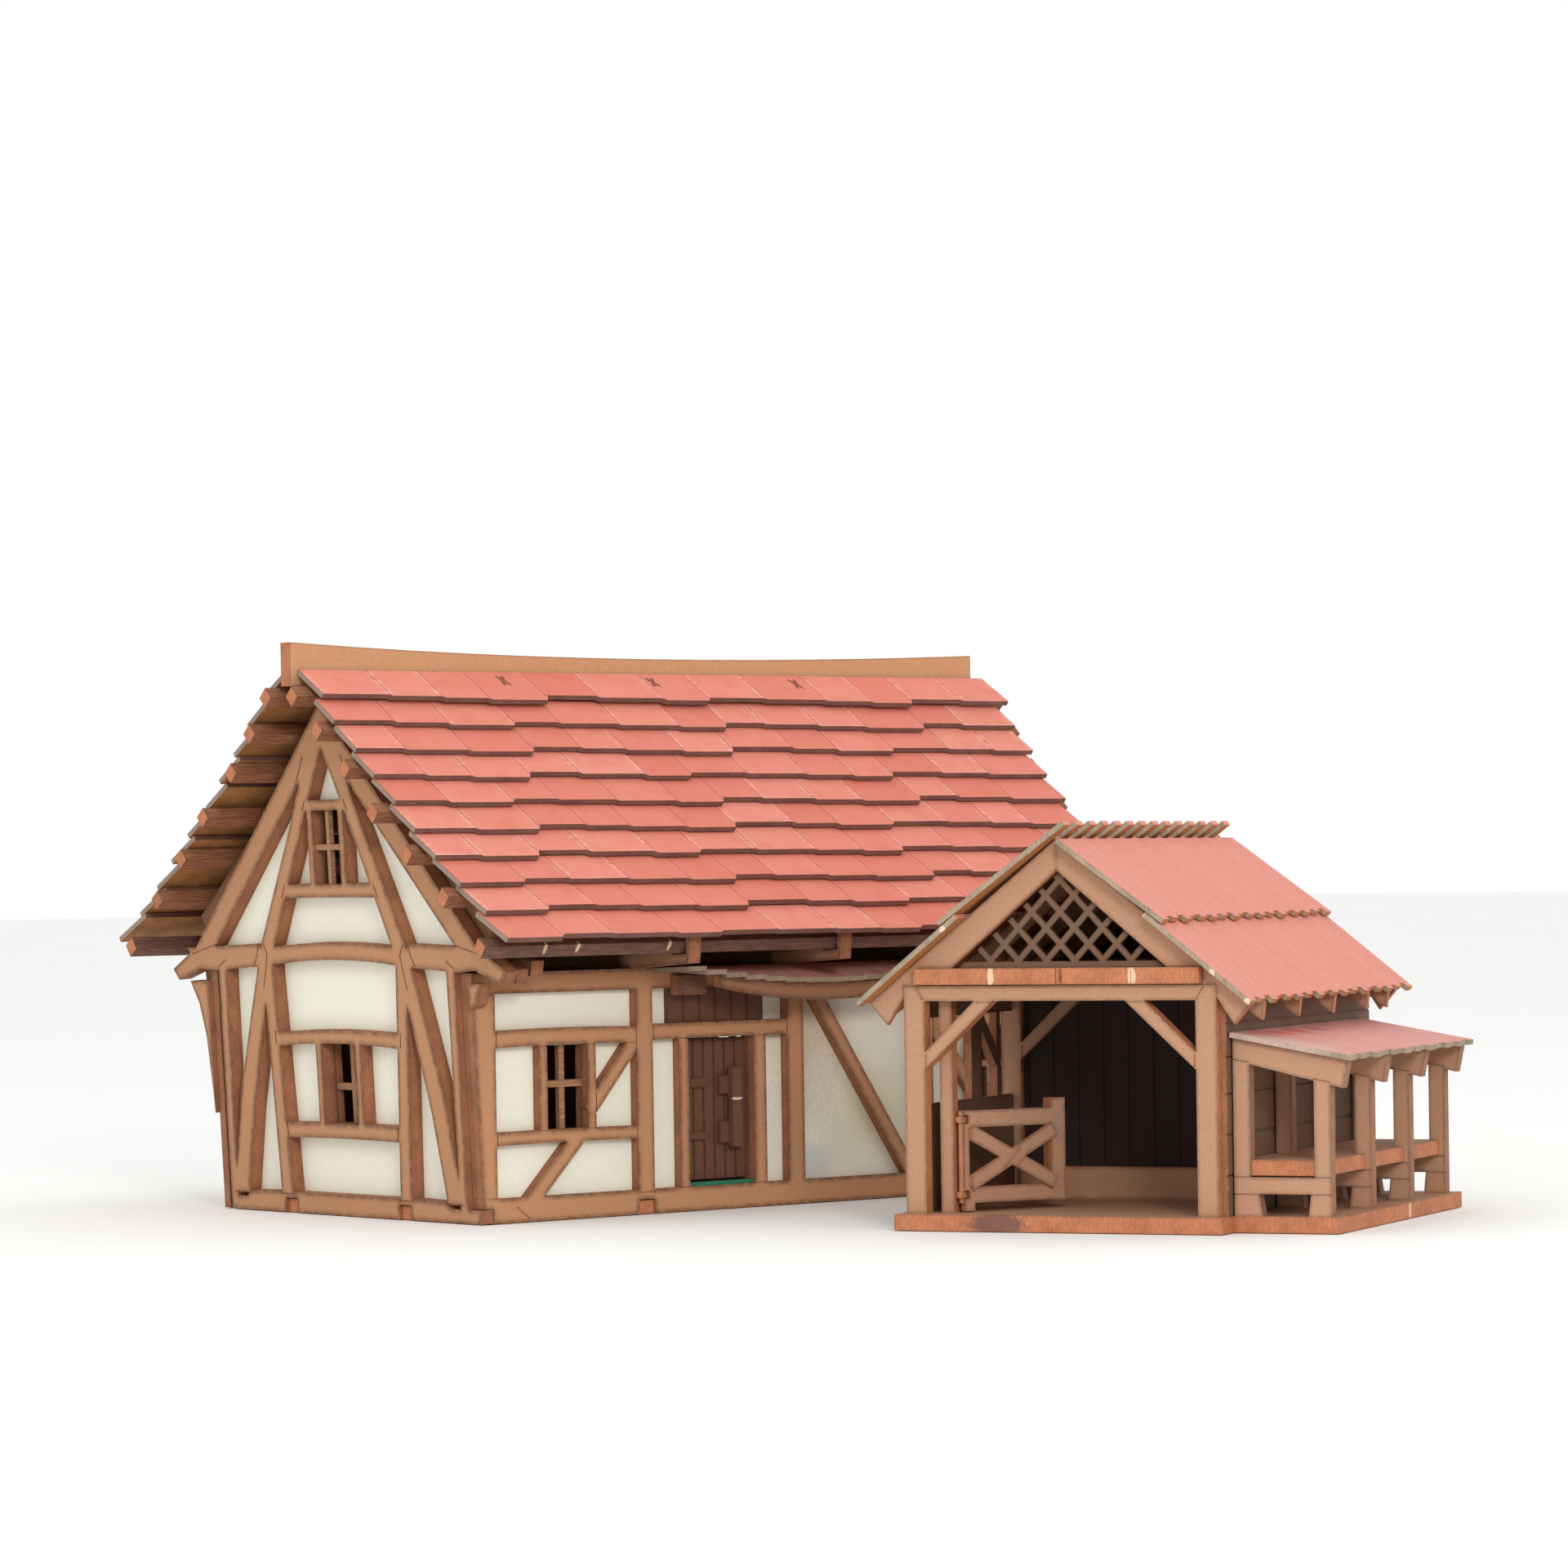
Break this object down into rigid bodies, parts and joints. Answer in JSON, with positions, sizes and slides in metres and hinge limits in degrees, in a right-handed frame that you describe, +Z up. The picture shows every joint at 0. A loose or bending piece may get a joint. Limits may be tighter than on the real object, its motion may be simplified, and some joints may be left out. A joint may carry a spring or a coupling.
{
  "type": "miniature timber-framed house and stable terrain set",
  "caption": "Laser-cut wood fibre terrain set for miniature games: a timber-framed house with a lift-off sagging roof and opening door, beside an open stable with lean-to and stall gate.",
  "frame": {"origin": "middle of the underside of the house floor, on the table", "axes": "+X along the house ridge to the right seen from the door side, +Y away from the door side, +Z up"},
  "size_m": [0.2498, 0.3527, 0.152],
  "materials": {
    "timber_sheet": "satin burnt-edge wood fibre sheet, brown face",
    "plaster_card": "matt off-white card",
    "core_sheet": "plain wood fibre sheet",
    "roof_sheet": "matt salmon-red wood fibre sheet with pale seams",
    "stable_roof_sheet": "matt dusty pink wood fibre sheet",
    "cut_edge_block": "orange-brown cut edge of wood fibre sheet",
    "green_strip": "matt dark green"
  },
  "bodies": {
    "house": {"canopy_beam_ends": "cut_edge_block", "canopy_fascia": "timber_sheet", "canopy_roof": "roof_sheet", "corner_knees": "timber_sheet", "door_threshold": "green_strip", "eave_purlins": "cut_edge_block", "eave_struts": "timber_sheet", "front_wall_core": "core_sheet", "front_wall_plaster": "plaster_card", "front_wall_timbers": "timber_sheet", "house_floor": "core_sheet", "left_gable_core": "core_sheet", "left_gable_plaster": "plaster_card", "left_gable_timbers": "timber_sheet", "over_door_panel": "timber_sheet", "rear_wall_core": "core_sheet", "rear_wall_plaster": "plaster_card", "rear_wall_timbers": "timber_sheet", "right_gable_core": "core_sheet", "right_gable_plaster": "plaster_card", "right_gable_timbers": "timber_sheet", "window_bars": "cut_edge_block"},
    "house_roof": {"front_shingles": "roof_sheet", "rear_shingles": "roof_sheet", "front_purlins": "cut_edge_block", "rear_purlins": "cut_edge_block", "ridge_board": "timber_sheet", "roof_formers": "core_sheet"},
    "front_door": {"door_leaf": "timber_sheet", "door_strap_hinges": "timber_sheet", "door_pull": "timber_sheet", "door_pull_blocks": "timber_sheet"},
    "stable": {"gable_boards": "timber_sheet", "gable_lattice": "timber_sheet", "gate_hooks": "cut_edge_block", "gate_post": "timber_sheet", "lean_to_base": "timber_sheet", "lean_to_frames": "timber_sheet", "lean_to_roof": "stable_roof_sheet", "loft_floor": "timber_sheet", "manger_shelf": "timber_sheet", "rear_gable_panel": "core_sheet", "shed_base": "timber_sheet", "shed_front_frame": "timber_sheet", "shed_inner_frame": "timber_sheet", "shed_left_wall": "timber_sheet", "shed_partition": "timber_sheet", "shed_plinth": "timber_sheet", "shed_rear_frame": "timber_sheet", "shed_rear_walls": "core_sheet", "shed_right_wall": "timber_sheet"},
    "stable_roof": {"shed_roof_upper_right": "stable_roof_sheet", "shed_roof_lower_right": "stable_roof_sheet", "shed_roof_upper_left": "stable_roof_sheet", "shed_roof_lower_left": "stable_roof_sheet", "shed_rafters": "timber_sheet"},
    "stall_gate": {"gate_frame": "timber_sheet", "gate_braces": "timber_sheet", "gate_stile_block": "cut_edge_block"}
  },
  "joints": [
    {"name": "roof_lift", "type": "slide", "parent": "house", "child": "house_roof", "axis": [0, 0, 1], "range_m": [0, 0.09]},
    {"name": "door_hinge", "type": "hinge", "parent": "house", "child": "front_door", "pos_m": [-0.03315, -0.0549, 0.0265], "axis": [0, 0, 1], "range_deg": [-90, 0]},
    {"name": "stable_place", "type": "slide", "parent": "house", "child": "stable", "axis": [0, -1, 0], "range_m": [0, 0.06]},
    {"name": "stable_roof_lift", "type": "slide", "parent": "stable", "child": "stable_roof", "axis": [0, 0, 1], "range_m": [0, 0.06]},
    {"name": "gate_hinge", "type": "hinge", "parent": "stable", "child": "stall_gate", "pos_m": [-0.03653, -0.1695, 0.018], "axis": [0, 0, 1], "range_deg": [-53.5, 36.5]}
  ]
}
